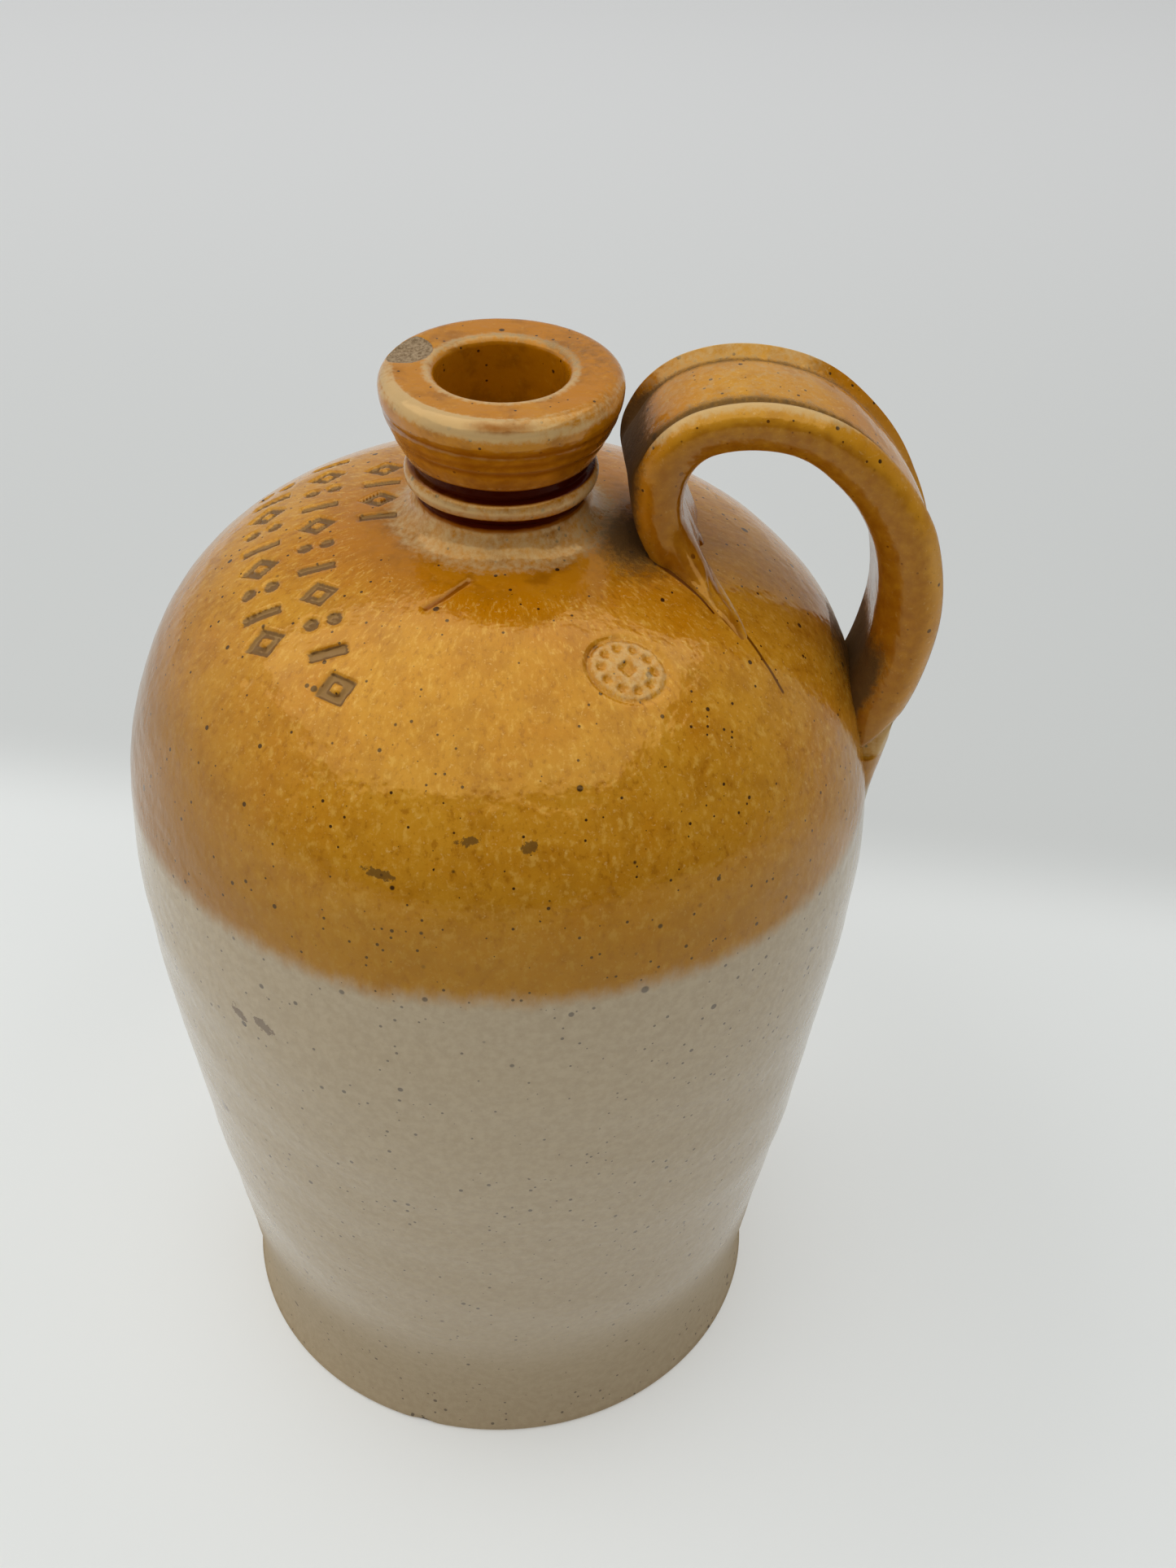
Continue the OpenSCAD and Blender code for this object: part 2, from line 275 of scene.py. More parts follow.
def impressed_oval(x, y):
    """Depth share of the oval on the front shoulder, seen in plan: a rim that is deepest on the left, a
    ring of dots and a lozenge in the middle. The second value is 1 inside the oval."""
    dx, dy = x - OVAL_X, y - OVAL_Y
    u = dx * cos(OVAL_TILT) + dy * sin(OVAL_TILT)
    v = -dx * sin(OVAL_TILT) + dy * cos(OVAL_TILT)
    out = np.hypot(u / OVAL_HALF_W, v / OVAL_HALF_H)
    turn = np.degrees(np.arctan2(v / OVAL_HALF_H, u / OVAL_HALF_W))
    rim = stamped((np.abs(out - RIM_AT) - 0.06) * OVAL_HALF_H) * (0.35 + 0.65 * rise(-u, -6, 9))
    dot_turn = (turn + DOTS_PITCH / 2) % DOTS_PITCH - DOTS_PITCH / 2
    dot_v, dot_u = (out - DOTS_AT) * OVAL_MEAN_R, np.radians(dot_turn) * DOTS_AT * OVAL_MEAN_R
    dots = stamped(np.hypot(dot_v, dot_u) - 0.85)
    middle = stamped(edge_of_lozenge(u, v, 2.3, 1.9))
    return np.maximum.reduce([rim, 0.75 * dots, 0.8 * middle]), 1 - rise(out, 0.9, 1.1)


def line_mark(x, y, path, half_width):
    """Depth share of a thin mark along a path of plan points."""
    nearest = np.full(x.shape, 1e9)
    for (ax, ay), (bx, by) in zip(path[:-1], path[1:]):
        length = math.hypot(bx - ax, by - ay)
        t = np.clip(((x - ax) * (bx - ax) + (y - ay) * (by - ay)) / length**2, 0, 1)
        nearest = np.minimum(nearest, np.hypot(x - ax - t * (bx - ax), y - ay - t * (by - ay)))
    return np.exp(-((nearest / half_width) ** 2))


# paths of the gouge, the hairline crack and the crease beside the strap's root, in plan

GOUGE = [(-15.5, -37.6), (-11.5, -34.6), (-6.5, -29.6)]
CRACK = [(57.0, -30.6), (61.3, -34.9), (65.6, -38.6)]
CREASE = [(34.8, -14.8), (37.8, -17.6), (42.5, -21.5), (46.5, -25.1), (49.3, -28.3)]


# glaze material

class Recipe:
    """Adds nodes to one material in short calls, so that a finish reads as a formula. A value is a
    number, a colour or another node's output."""

    def __init__(self, name):
        self.material = bpy.data.materials.new(name)
        self.material.use_nodes = True
        self.tree = self.material.node_tree
        self.shader = self.tree.nodes["Principled BSDF"]

    def put(self, socket, value):
        if isinstance(value, bpy.types.NodeSocket):
            self.tree.links.new(value, socket)
        else:
            socket.default_value = value

    def math(self, operation, a, b=0.0, c=0.0):
        node = self.tree.nodes.new("ShaderNodeMath")
        node.operation = operation
        for socket, value in zip(node.inputs, (a, b, c)):
            self.put(socket, value)
        return node.outputs[0]

    def vector(self, operation, a, b=(0, 0, 0), scale=1.0):
        node = self.tree.nodes.new("ShaderNodeVectorMath")
        node.operation = operation
        self.put(node.inputs[0], a)
        self.put(node.inputs[1], b)
        self.put(node.inputs[3], scale)
        return node.outputs["Value" if operation in ("LENGTH", "DISTANCE", "DOT_PRODUCT") else "Vector"]

    def join(self, x, y, z):
        node = self.tree.nodes.new("ShaderNodeCombineXYZ")
        for socket, value in zip(node.inputs, (x, y, z)):
            self.put(socket, value)
        return node.outputs[0]

    def split(self, vector):
        node = self.tree.nodes.new("ShaderNodeSeparateXYZ")
        self.put(node.inputs[0], vector)
        return node.outputs

    def noise(self, vector, size, detail=2.0, roughness=0.5):
        """Smooth noise about 0.5 with features of about the given size."""
        node = self.tree.nodes.new("ShaderNodeTexNoise")
        self.put(node.inputs["Vector"], vector)
        node.inputs["Scale"].default_value = 1 / size
        node.inputs["Detail"].default_value = detail
        node.inputs["Roughness"].default_value = roughness
        return node.outputs["Fac"]

    def wobble(self, vector, size, amount, detail=2.0, roughness=0.5):
        """Noise that runs from minus half of amount to half of amount."""
        return self.math("MULTIPLY_ADD", self.noise(vector, size, detail, roughness), amount, -amount / 2)

    def calmed(self, noise, share):
        """The same noise, drawn in towards its middle of 0.5 to a share of its strength."""
        return self.math("MULTIPLY_ADD", self.math("SUBTRACT", noise, 0.5), share, 0.5)

    def cells(self, vector, size):
        """Distance from the middle of scattered cells, as a share of their size, and a chance value
        that is the same all over each cell."""
        node = self.tree.nodes.new("ShaderNodeTexVoronoi")
        self.put(node.inputs["Vector"], vector)
        node.inputs["Scale"].default_value = 1 / size
        return node.outputs["Distance"], self.split(node.outputs["Color"])[0]

    def ramp(self, value, low, high, first=0.0, last=1.0):
        """Eases from first to last as value goes from low to high."""
        node = self.tree.nodes.new("ShaderNodeMapRange")
        node.interpolation_type = "SMOOTHSTEP"
        for socket, entry in zip(node.inputs, (value, low, high, first, last)):
            self.put(socket, entry)
        return node.outputs[0]

    def blend(self, share, a, b):
        """Colour a where share is 0, b where it is 1."""
        node = self.tree.nodes.new("ShaderNodeMix")
        node.data_type = "RGBA"
        self.put(node.inputs["Factor"], share)
        self.put(node.inputs["A"], a)
        self.put(node.inputs["B"], b)
        return node.outputs["Result"]

    def away_from(self, x, y, path):
        """Distance in plan from the line through the points of a path."""
        nearest = 1e6
        for (ax, ay), (bx, by) in zip(path[:-1], path[1:]):
            dx, dy = bx - ax, by - ay
            square = dx * dx + dy * dy
            rx, ry = self.math("SUBTRACT", x, ax), self.math("SUBTRACT", y, ay)
            tx, ty = self.math("MULTIPLY", rx, dx / square), self.math("MULTIPLY", ry, dy / square)
            t = self.math("MINIMUM", self.math("MAXIMUM", self.math("ADD", tx, ty), 0.0), 1.0)
            off_x = self.math("SUBTRACT", rx, self.math("MULTIPLY", t, dx))
            off_y = self.math("SUBTRACT", ry, self.math("MULTIPLY", t, dy))
            nearest = self.math("MINIMUM", nearest, self.vector("LENGTH", self.join(off_x, off_y, 0.0)))
        return nearest

    def mark(self, name):
        """Value of a piece's own attribute."""
        node = self.tree.nodes.new("ShaderNodeAttribute")
        node.attribute_name = name
        return node.outputs["Fac"]

    def place(self):
        """Object coordinates in millimetres."""
        node = self.tree.nodes.new("ShaderNodeTexCoord")
        return self.vector("SCALE", node.outputs["Object"], scale=1000.0)

    def bump(self, height, depth):
        """Bumps that stand up to depth metres where height is 1."""
        node = self.tree.nodes.new("ShaderNodeBump")
        node.inputs["Distance"].default_value = depth
        self.put(node.inputs["Height"], height)
        self.put(self.shader.inputs["Normal"], node.outputs[0])


# colours of the glaze, and of what lies on it

AMBER, DEEP_AMBER, BROWN_BLOTCH = (0.60, 0.270, 0.016, 1), (0.50, 0.175, 0.0006, 1), (0.36, 0.125, 0.002, 1)
PALE_DASH, RUSTY_DASH = (0.74, 0.41, 0.07, 1), (0.33, 0.105, 0.001, 1)
PALE_FLECK, RUSTY_FLECK = (0.78, 0.48, 0.14, 1), (0.26, 0.085, 0.002, 1)
# the low and left ambers are painted shade
SHADED_LOW_AMBER, SHADED_LEFT_AMBER = (0.29, 0.115, 0.002, 1), (0.26, 0.10, 0.004, 1)
CREAM, PALE_CREAM = (0.428, 0.318, 0.184, 1), (0.496, 0.38, 0.23, 1)
# the low cream is painted shade
SHADED_LOW_CREAM, CREAM_GRAIN = (0.37, 0.272, 0.155, 1), (0.33, 0.24, 0.13, 1)
IRON, SCUFF = (0.028, 0.010, 0.004, 1), (0.125, 0.060, 0.014, 1)
# the thin glaze colour is worn glaze, and also a painted highlight on the strap's crown
THIN_GLAZE_AND_HIGHLIGHT, SPLIT_GLAZE = (0.62, 0.43, 0.20, 1), (0.085, 0.018, 0.001, 1)
# the pool edge colour is pooled glaze, and also painted shade on the strap's sides
POOL_EDGE_AND_SHADE, DEEP_POOL = (0.26, 0.075, 0.001, 1), (0.050, 0.004, 0.0006, 1)
STAIN, GRIME = (0.13, 0.066, 0.024, 1), (0.045, 0.024, 0.010, 1)
DARK_CLAY, PALE_CLAY = (0.13, 0.085, 0.05, 1), (0.36, 0.27, 0.17, 1)
CREAM_GLOSS, AMBER_GLOSS, POOL_GLOSS = (1.0, 0.95, 0.85, 1), (1.0, 0.62, 0.22, 1), (0.8, 0.16, 0.04, 1)
GLOSSY, MATT, GLAZE_IOR, GRAIN_DEPTH = 0.13, 0.8, 1.6, 0.22 * MM

UNROLLED_R = 62.0  # radius at which a drawn-out pattern has its true width
DRAWN_OUT = 0.28  # how much shorter the way down the wall counts in such a pattern

SPECKS = (  # size of the cells, how far the largest speck reaches in one, share of cells without a speck
    (1.9, 0.21, 0.68),
    (3.4, 0.18, 0.60),
    (6.5, 0.135, 0.50),
    (12.0, 0.095, 0.45),
)

SCUFFS = (  # place in millimetres, azimuth, half length round the jar, half height, slope
    ((-23.5, -84.2, 225.0), -105.8, 3.6, 1.1, -0.1),
    ((-4.1, -82.9, 233.4), -92.8, 2.9, 0.9, 0.15),
    ((9.0, -83.3, 232.2), -83.9, 2.0, 1.2, 0.2),
    ((-59.5, -73.9, 170.6), -129.0, 3.0, 1.7, -0.5),
    ((-53.0, -78.8, 171.0), -124.0, 3.4, 1.9, -0.4),
    ((-83.0, -46.0, 168.8), -151.0, 1.6, 2.6, 0.0),
    ((-70.6, -55.2, 115.6), -142.0, 1.8, 1.6, 0.3),
)


class Stoneware(Recipe):
    """Recipe of the jar's glaze, which also knows its place on the jar: x, y, z and the radius in
    millimetres, on_wall, which is 1 on the turned wall and 0 on neck and strap, and running, in which
    a pattern is drawn out down the wall."""

    def __init__(self):
        super().__init__("two_tone_stoneware_glaze")
        self.here = self.place()
        self.x, self.y, self.z = self.split(self.here)
        self.radius = self.vector("LENGTH", self.join(self.x, self.y, 0.0))
        self.on_wall = self.math("SUBTRACT", 1.0, self.mark("off_wall"))
        self.round_x, self.round_y = self.unrolled(self.x), self.unrolled(self.y)
        along_z = self.math("MULTIPLY", self.z, DRAWN_OUT)
        along_radius = self.math("MULTIPLY", self.radius, -DRAWN_OUT)
        self.down = self.math("ADD", along_z, along_radius)
        self.running = self.join(self.round_x, self.round_y, self.down)

    def unrolled(self, value):
        """x or y of the same azimuth at the radius UNROLLED_R."""
        above_zero = self.math("ADD", self.radius, 0.01)
        return self.math("DIVIDE", self.math("MULTIPLY", value, UNROLLED_R), above_zero)

    def drawn_out(self, pace):
        """The running place, with the way down the wall counted pace times."""
        return self.join(self.round_x, self.round_y, self.math("MULTIPLY", self.down, pace))


def amber_glaze(g):
    """Amber that is deeper near the neck and in its clouds and runs, with brown blotches and with pale and
    rusty dashes and flecks. Painted shade makes it darker low down and on the left. Off the wall the
    dashes are round speckles, and on the neck the blotches and flecks are weaker."""
    clouds = g.noise(g.here, 34.0, 3.0, 0.55)
    runs = g.calmed(g.noise(g.drawn_out(2.0), 4.0, 3.0, 0.6), g.on_wall)
    near_neck = g.ramp(g.radius, 30.0, 56.0, 1.0, 0.0)
    deep = g.math("ADD", g.math("MULTIPLY", clouds, 1.0), g.math("MULTIPLY", runs, 0.45))
    deep = g.math("ADD", deep, g.math("MULTIPLY", near_neck, 0.28))
    amber = g.blend(g.ramp(deep, 0.55, 1.10), AMBER, DEEP_AMBER)

    on_neck = g.math("MULTIPLY", g.math("SUBTRACT", 1.0, g.on_wall), g.ramp(g.radius, 38.0, 29.0))
    blotches = g.ramp(g.noise(g.here, 8.0, 4.0, 0.6), 0.46, 0.66)
    blotches = g.math("MULTIPLY", blotches, g.math("MULTIPLY_ADD", on_neck, 0.6, 0.4))
    amber = g.blend(blotches, amber, BROWN_BLOTCH)

    speckles = g.noise(g.here, 1.5, 3.0, 0.6)
    dashes = g.noise(g.drawn_out(1.5), 1.3, 3.0, 0.6)
    dashes = g.math("MULTIPLY_ADD", g.math("SUBTRACT", dashes, speckles), g.on_wall, speckles)
    dashes = g.calmed(dashes, g.math("MULTIPLY_ADD", g.on_wall, 0.6, 0.4))
    amber = g.blend(g.ramp(dashes, 0.52, 0.72, 0.0, 0.60), amber, PALE_DASH)
    amber = g.blend(g.ramp(dashes, 0.46, 0.28, 0.0, 0.60), amber, RUSTY_DASH)

    flecks = g.calmed(g.noise(g.here, 1.0, 3.0, 0.65), g.math("MULTIPLY_ADD", on_neck, -0.6, 1.0))
    amber = g.blend(g.ramp(flecks, 0.58, 0.74, 0.0, 0.55), amber, PALE_FLECK)
    amber = g.blend(g.ramp(flecks, 0.38, 0.26, 0.0, 0.50), amber, RUSTY_FLECK)

    # painted shade: the amber darkens lower down and on the left side
    amber = g.blend(g.math("MULTIPLY", g.ramp(g.z, 236.0, 202.0), 0.62), amber, SHADED_LOW_AMBER)
    left_shade = g.math("MULTIPLY", g.ramp(g.x, -30.0, -90.0, 0.0, 0.85), g.ramp(g.z, 262.0, 225.0))
    return g.blend(left_shade, amber, SHADED_LEFT_AMBER)


def cream_glaze(g):
    """Grey cream in pale and dark patches with a fine dark grain, and painted shade a little darker towards
    the foot.
    """
    patches = g.ramp(g.noise(g.here, 2.2, 4.0, 0.6), 0.3, 0.7)
    grain = g.ramp(g.noise(g.here, 0.45, 2.0, 0.6), 0.36, 0.22, 0.0, 0.4)
    cream = g.blend(patches, CREAM, PALE_CREAM)
    # painted shade: the cream darkens towards the foot
    cream = g.blend(g.ramp(g.z, 170.0, 20.0, 0.0, 0.35), cream, SHADED_LOW_CREAM)
    return g.blend(grain, cream, CREAM_GRAIN)


def above_dip(g):
    """Share of amber: 1 above the dip line, which wanders by a few millimetres and has a fine fringe."""
    wander = g.wobble(g.here, 30.0, 5.0)
    fringe = g.wobble(g.running, 2.4, 6.0, 4.0, 0.7)
    level = g.math("ADD", g.z, g.math("ADD", wander, fringe))
    return g.ramp(level, DIP_Z - 3.4, DIP_Z + 3.6)


def with_iron_specks(g, colour, amber_share):
    """Adds round iron specks in scattered cells of four sizes, a little fainter on the cream."""
    for size, reach, gaps in SPECKS:
        away, chance = g.cells(g.here, size)
        limit = g.math("MULTIPLY", g.ramp(chance, gaps, 1.0), reach)
        speck = g.ramp(g.math("SUBTRACT", away, limit), -0.035, 0.015, 1.0, 0.0)
        speck = g.math("MULTIPLY", speck, g.ramp(chance, gaps, gaps + 0.02))
        speck = g.math("MULTIPLY", speck, g.ramp(amber_share, 0.0, 1.0, 0.72, 0.95))
        colour = g.blend(speck, colour, IRON)
    return colour


def with_scuffs(g, colour):
    """Adds the scuffs and rusty marks, each a ragged slanting oval at its place on the wall."""
    ragged = g.wobble(g.here, 1.3, 2.6, 3.0, 0.7)
    for middle, azimuth, half_w, half_h, slope in SCUFFS:
        offset = g.vector("SUBTRACT", g.here, middle)
        across = g.vector("DOT_PRODUCT", offset, (-float(sin(azimuth)), float(cos(azimuth)), 0.0))
        up = g.math("MULTIPLY_ADD", across, -slope, g.split(offset)[2])
        wide, high = g.math("DIVIDE", across, half_w), g.math("DIVIDE", up, half_h)
        depth = g.math("ADD", g.vector("LENGTH", g.join(wide, high, 0.0)), ragged)
        near = g.ramp(g.vector("LENGTH", offset), 8.0, 9.0, 1.0, 0.0)
        scuff = g.math("MULTIPLY", g.ramp(depth, 0.75, 1.0, 0.8, 0.0), near)
        colour = g.blend(scuff, colour, SCUFF)
    return colour


def split_glaze(g):
    """Share of the dark lines in the shoulder's glaze: the hairline crack, and the crease along the
    strap's root, which is wider towards the neck."""
    crack = g.ramp(g.away_from(g.x, g.y, CRACK), 0.2, 0.6, 0.9, 0.0)
    width = g.ramp(g.x, 35.0, 50.0, 1.1, 0.35)
    crease = g.ramp(g.math("DIVIDE", g.away_from(g.x, g.y, CREASE), width), 0.5, 1.2, 0.95, 0.0)
    on_shoulder = g.ramp(g.z, MARKED_Z, MARKED_Z + 2)
    return g.math("MULTIPLY", g.math("MULTIPLY", g.math("MAXIMUM", crack, crease), on_shoulder), g.on_wall)


def glaze():
    """Two-tone stoneware glaze: amber above a soft dip line, pale grey cream below it. Iron specks and
    scuffs lie on both. Worn edges, pools, stains, grime and bare clay follow the marks of each piece, and
    on the strap the pool mark also paints shade on the sides and the thin mark a highlight on the crown."""
    g = Stoneware()
    amber_share = above_dip(g)
    colour = g.blend(amber_share, cream_glaze(g), amber_glaze(g))
    colour = with_iron_specks(g, colour, amber_share)
    colour = with_scuffs(g, colour)

    worn = g.wobble(g.here, 1.6, 0.8, 3.0, 0.65)
    thin_and_highlight = g.ramp(g.math("ADD", g.mark("thin_and_highlight"), worn), 0.25, 0.75)
    pool_and_shade = g.math("ADD", g.mark("pool_and_shade"), g.wobble(g.here, 3.0, 0.3, 3.0, 0.6))
    stain = g.ramp(g.math("ADD", g.mark("stain"), worn), 0.25, 0.8, 0.0, 0.9)
    grime = g.ramp(g.math("ADD", g.mark("grime"), g.wobble(g.here, 1.6, 0.9, 4.0, 0.7)), 0.15, 0.95)
    bare = g.ramp(g.math("ADD", g.mark("bare"), g.math("MULTIPLY", worn, 0.6)), 0.4, 0.6)
    clay = g.blend(g.ramp(g.noise(g.here, 0.9, 4.0, 0.75), 0.35, 0.65), DARK_CLAY, PALE_CLAY)
    layers = (
        # on the strap the thin layer also paints a highlight and the pool layer paints shade
        (g.math("MULTIPLY", thin_and_highlight, 0.85), THIN_GLAZE_AND_HIGHLIGHT),
        (g.ramp(pool_and_shade, 0.12, 0.50), POOL_EDGE_AND_SHADE),
        (g.ramp(pool_and_shade, 0.50, 0.90), DEEP_POOL),
        (split_glaze(g), SPLIT_GLAZE),
        (stain, STAIN),
        (g.math("MULTIPLY", grime, 0.88), GRIME),
        (bare, clay),
    )
    for share, layer in layers:
        colour = g.blend(share, colour, layer)
    g.put(g.shader.inputs["Base Color"], colour)

    # the foot, grime, bare clay and the strap's wiped end are matt, and a pool shines darkly
    matt = g.math("MAXIMUM", bare, g.math("MULTIPLY", grime, 0.8))
    matt = g.math("MAXIMUM", matt, g.ramp(g.z, 70.0, 20.0, 0.0, 0.8))
    matt = g.math("MAXIMUM", matt, g.math("MULTIPLY", g.mark("dull"), 0.6))
    g.put(g.shader.inputs["Roughness"], g.ramp(matt, 0.0, 1.0, GLOSSY, MATT))
    g.shader.inputs["IOR"].default_value = GLAZE_IOR
    g.put(g.shader.inputs["Specular IOR Level"], g.ramp(pool_and_shade, 0.4, 0.8, 0.8, 0.1))
    tint = g.blend(amber_share, CREAM_GLOSS, AMBER_GLOSS)
    g.put(g.shader.inputs["Specular Tint"], g.blend(g.ramp(pool_and_shade, 0.3, 0.8), tint, POOL_GLOSS))
    peel = g.noise(g.here, 3.6, 2.0)
    grit = g.math("MULTIPLY", g.noise(g.here, 0.8, 3.0, 0.7), g.ramp(matt, 0.0, 1.0, 0.05, 1.0))
    g.bump(g.math("ADD", peel, grit), GRAIN_DEPTH)
    return g.material


# the thrown body

def softened_waist(outline):
    """The outline with its radius near the waist eased towards the mean over about 18 mm of its run."""
    z = outline[:, 1]
    even = resample(outline[z < 60], lambda p: 0.5)
    half, count = 18, 37
    mean_r = np.convolve(np.pad(even[:, 0], half, mode="edge"), np.ones(count) / count, mode="valid")
    share = hump(z, WAIST_Z + 2, 15) * (z < 50)
    softened = outline.copy()
    softened[:, 0] += share * (np.interp(z, even[:, 1], mean_r) - outline[:, 0])
    return softened


def wall_spacing(p):
    """Distance between the rings of points of the wall: closest where the shoulder is marked."""
    r, z = p
    if z < WAIST_Z + 2:
        return 1.2
    if z < 190:
        return 3.4
    if z < 246.5:
        return 1.8
    return 0.60 if r > 25 else 0.8


def wall_outline():
    """Outline of the outside from the base to the neck's seam: foot edge, flare, leaning wall as a
    cubic curve, superellipse shoulder and the hollow curve at the neck's root."""
    lean = np.array([sin(WALL_LEAN), cos(WALL_LEAN)])
    waist, belly = np.array([WAIST_R, WAIST_Z]), np.array([BELLY_R, BELLY_Z])
    flare = (WAIST_Z - FOOT_EDGE_R) / 3
    root_r = NECK_R + NECK_FILLET
    root_z = float(shoulder_height(root_r))
    base = [[20, 0], [45, 0], [66, 0]]
    edge = arc((FOOT_R - FOOT_EDGE_R, FOOT_EDGE_R), FOOT_EDGE_R, -90, 0, 8)
    edge_top = np.array([FOOT_R, FOOT_EDGE_R])
    t = np.linspace(0, 1, 60)[1:]
    flaring = cubic(edge_top, edge_top + (0, flare), waist - flare * lean, waist, t)
    t = np.linspace(0, 1, 400)[1:]
    wall = cubic(waist, waist + WALL_STRAIGHT * lean, belly - (0, BELLY_EASE), belly, t)
    top = shoulder_line(0, root_r)
    hollow = arc((root_r, root_z + NECK_FILLET), NECK_FILLET, 270, 180, 60)
    smooth = softened_waist(np.concatenate([flaring, wall, top, hollow, [[NECK_R, NECK_SEAM_Z]]]))
    return np.concatenate([base, edge, resample(smooth, wall_spacing)])


def cavity_outline():
    """Outline of the inside from the neck's seam down to the floor."""
    lean = np.array([sin(WALL_LEAN), cos(WALL_LEAN)])
    low = np.array([WAIST_R - WALL_T, WAIST_Z])
    knee = low + FLOOR_ROUND * lean
    belly = np.array([BELLY_R - WALL_T, BELLY_Z])
    floor = np.array([knee[0] - FLOOR_ROUND, FLOOR_T])
    t = np.linspace(0, 1, 12)
    corner = cubic(floor, floor + (FLOOR_ROUND / 2, 0), knee - FLOOR_ROUND / 2 * lean, knee, t)
    wall = cubic(knee, knee + WALL_STRAIGHT * lean, belly - (0, BELLY_EASE), belly, t)[1:]
    top = resample(shoulder_line(WALL_T, BORE_R + 1.5), lambda p: 9.0)
    inner = np.concatenate([[[40, FLOOR_T]], corner, wall, top])
    return np.concatenate([[[BORE_R + 1.5, NECK_SEAM_Z]], inner[::-1]])


COLUMNS, ROWS_AZIMUTH, OVAL_AZIMUTH = 400, 194, -44


def body_azimuths():
    """Azimuths of the body's columns, about four times closer together within 62 degrees of the impressed
    rows and within 32 degrees of the oval."""
    a = np.linspace(-180, 180, 7201)
    at_rows = rise(np.abs((a % 360) - ROWS_AZIMUTH), 66, 62)
    at_oval = rise(np.abs(a - OVAL_AZIMUTH), 36, 32)
    count = np.cumsum(1 / (2.4 - 1.84 * np.maximum(at_rows, at_oval)))
    count -= count[0]
    return np.interp(np.linspace(0, count[-1], COLUMNS + 1)[:-1], count, a)


UNEVEN, RING_DEPTH, RING_PITCH = 0.22, 0.035, 6.3
ROW_DEPTH, OVAL_DEPTH, OVAL_SUNK = 0.95, 0.75, 0.25
GOUGE_DEPTH, GOUGE_HALF_W = 0.7, 0.9
PIT_X, PIT_Y, PIT_R, PIT_DEPTH = -55.2, -45.4, 0.9, 0.5
FOOT_CHIP_AT, FOOT_CHIP_DEPTH = -105.5, 1.5


def make_body(material):
    """The thrown body from the foot to the neck, with its cavity: the outline turned about the axis and
    pushed in and out by the unevenness of the clay, the throwing rings, the impressed marks and the
    damage."""
    outside, inside = wall_outline(), cavity_outline()
    outline = np.concatenate([outside, inside])
    a = body_azimuths()[None, :]
    outer = (np.arange(len(outline)) < len(outside))[:, None]
    along = np.concatenate([[0], np.cumsum(np.hypot(*np.diff(outline, axis=0).T))])[:, None]
    r, z = outline[:, :1] + 0 * a, outline[:, 1:] + 0 * a
    x, y = r * cos(a), r * sin(a)
    upper = z > MARKED_Z

    uneven = UNEVEN * swell(a, along, 4) * rise(z, 4, 30) * (1 - rise(z, 262, 270))
    rings = RING_DEPTH * np.sin(2 * np.pi * along / RING_PITCH) * rise(z, 12, 30) * (1 - rise(z, 240, 260))
    rows = np.where(upper, impressed_rows(x, y), 0)
    oval, in_oval = impressed_oval(x, y)
    oval, in_oval = np.where(upper, oval, 0), np.where(upper, in_oval, 0)
    gouge = np.where(upper, line_mark(x, y, GOUGE, GOUGE_HALF_W), 0)
    pit = np.where(upper, np.exp(-(((x - PIT_X) ** 2 + (y - PIT_Y) ** 2) / PIT_R**2)), 0)
    foot_chip = np.exp(-(((a - FOOT_CHIP_AT) / 1.5) ** 2 + (z / 1.6) ** 2 + ((r - FOOT_R) / 2.5) ** 2))

    push = uneven + rings - ROW_DEPTH * rows - OVAL_DEPTH * oval - OVAL_SUNK * in_oval
    push = push - GOUGE_DEPTH * gouge - PIT_DEPTH * pit - FOOT_CHIP_DEPTH * foot_chip
    push = np.where(outer, push, 0)

    at_seam = hump(z, NECK_SEAM_Z, 2.0) * (r < 24)
    below_seam = rise(NECK_SEAM_Z - z, 0.5, 2.5) * (1 - rise(r, 25, 32)) * (z > 255)
    beside_neck = np.where(upper, hump(x, 31, 10) * hump(y, -9, 15), 0)
    at_strap_foot = hump(z, 228, 20) * hump(y, 0, 17) * (x > 80)
    marks = {
        "pool_and_shade": np.where(outer, 1.1 * at_seam + 0.55 * gouge + 0.30 * oval, 0),
        "thin_and_highlight": np.where(outer, 0.5 * in_oval * (1 - oval) + 0.52 * below_seam, 0),
        "stain": np.where(outer, 1.1 * rows + 0.35 * pit, 0),
        "grime": np.where(outer, 1.1 * beside_neck + 0.8 * at_strap_foot, 0),
        "bare": np.where(outer, 1.2 * foot_chip, 0),
        "off_wall": 1 - rise(r, 31, 38),
    }
    return solid("jar_body", turned(outline, a, push), material, marks, (0, 0, 0), (0, 0, FLOOR_T))


# neck and lip

